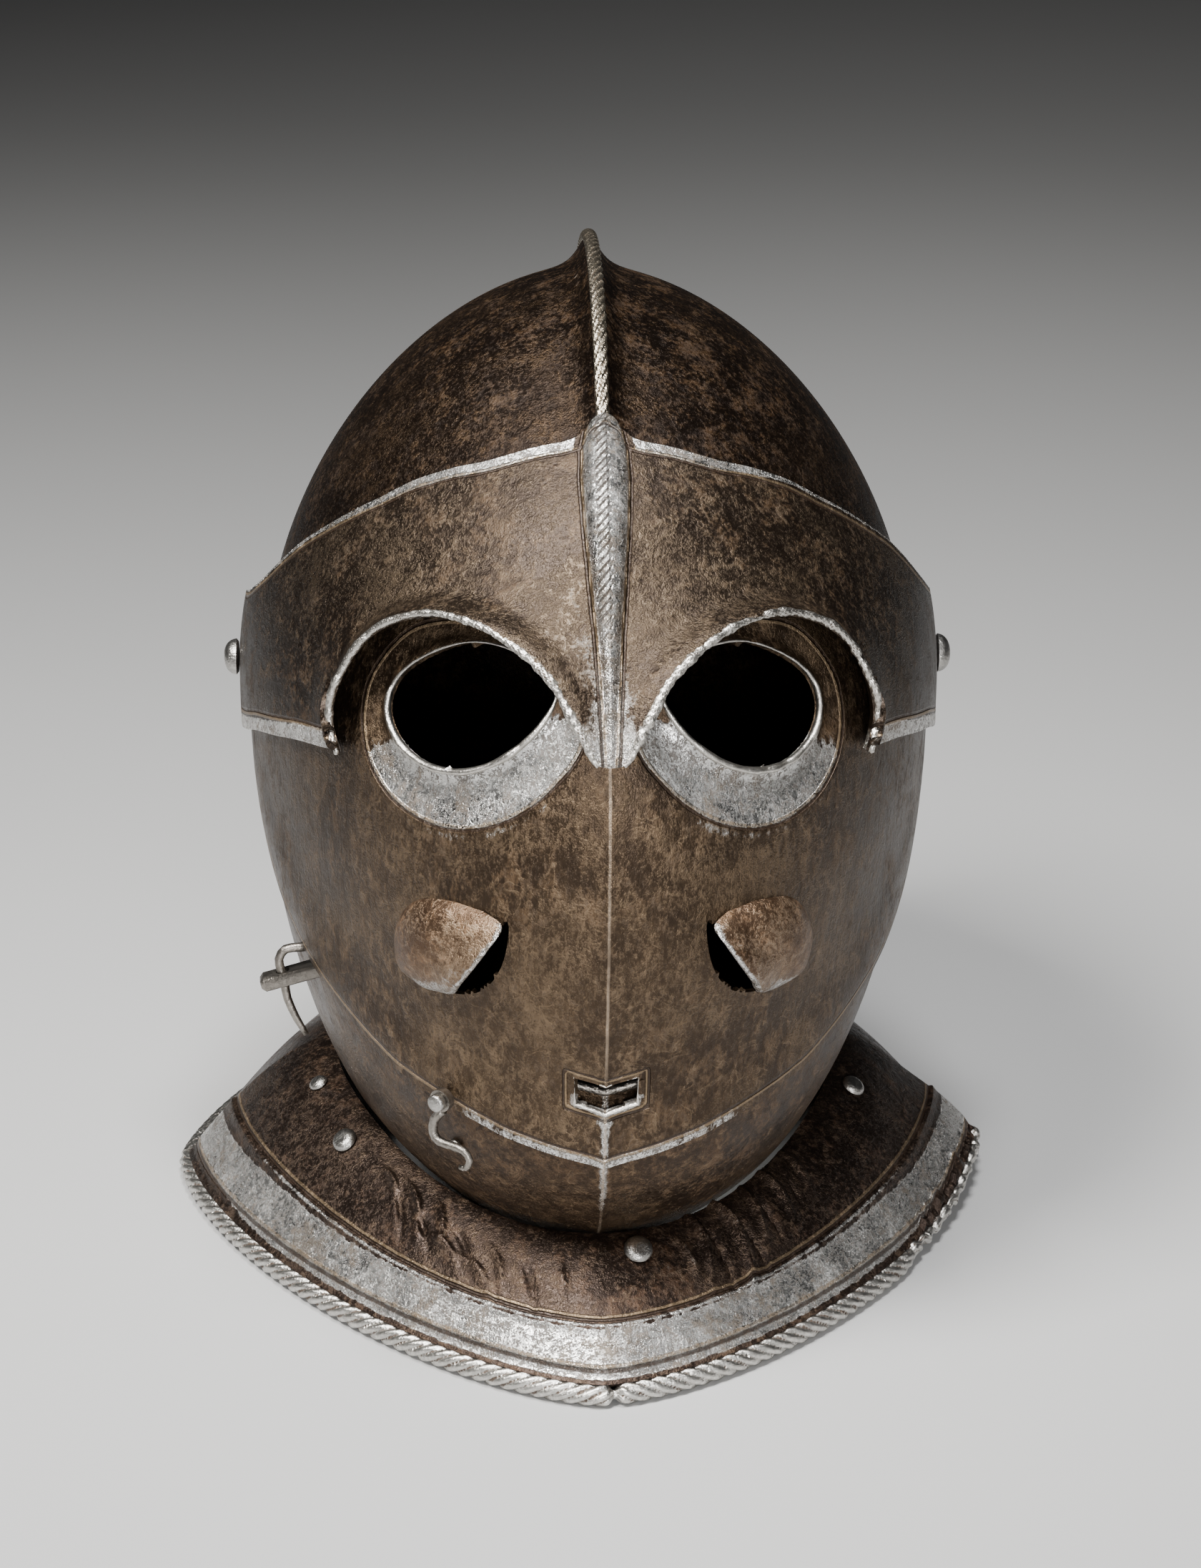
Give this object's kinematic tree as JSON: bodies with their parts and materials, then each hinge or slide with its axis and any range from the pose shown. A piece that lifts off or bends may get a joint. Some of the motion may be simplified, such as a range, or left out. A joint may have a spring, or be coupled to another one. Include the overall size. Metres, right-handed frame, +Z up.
{
  "type": "savoyard close helmet",
  "caption": "Close helmet with a low roped comb, hooded round eye holes, a slotted mask-like face guard, chin plate and flared neck plates.",
  "frame": {"origin": "middle of the bounding box, on the table under the neck plates", "axes": "+Z up through the comb, -Y ahead through the face, +X to the right of someone facing the helmet"},
  "size_m": [0.2654, 0.2869, 0.312],
  "materials": {
    "russet_steel": "pitted brown patina with bright worn bands",
    "bright_steel": "worn bright steel",
    "dark_iron": "dark forged iron"
  },
  "bodies": {
    "skull": {"skull": "russet_steel", "rear_gorget": "russet_steel", "rear_rivet_1": "bright_steel", "rear_rivet_2": "bright_steel", "rear_rivet_3": "bright_steel", "rear_rivet_4": "bright_steel", "pivot_rivet_left": "bright_steel", "pivot_rivet_right": "bright_steel"},
    "lower_face": {"bevor": "russet_steel", "face_plate": "russet_steel", "front_gorget": "russet_steel", "gorget_rivet_1": "bright_steel", "gorget_rivet_2": "bright_steel", "gorget_rivet_3": "bright_steel", "gorget_rivet_4": "bright_steel", "latch_stud": "bright_steel", "latch_knob": "bright_steel", "pierced_stud": "dark_iron", "side_hook": "dark_iron"},
    "brow": {"brow_plate": "russet_steel"},
    "latch": {"latch_hook": "dark_iron"}
  },
  "joints": [
    {"name": "face_lift", "type": "hinge", "parent": "skull", "child": "lower_face", "pos_m": [0, 0.0148, 0.18], "axis": [-1, 0, 0], "range_deg": [0, 45]},
    {"name": "brow_lift", "type": "hinge", "parent": "lower_face", "child": "brow", "pos_m": [0, 0.0148, 0.18], "axis": [-1, 0, 0], "range_deg": [0, 50]},
    {"name": "latch_swing", "type": "hinge", "parent": "lower_face", "child": "latch", "pos_m": [-0.04317, -0.11058, 0.08921], "axis": [-0.5843, -0.8115, -0.0081], "range_deg": [0, 60]}
  ]
}
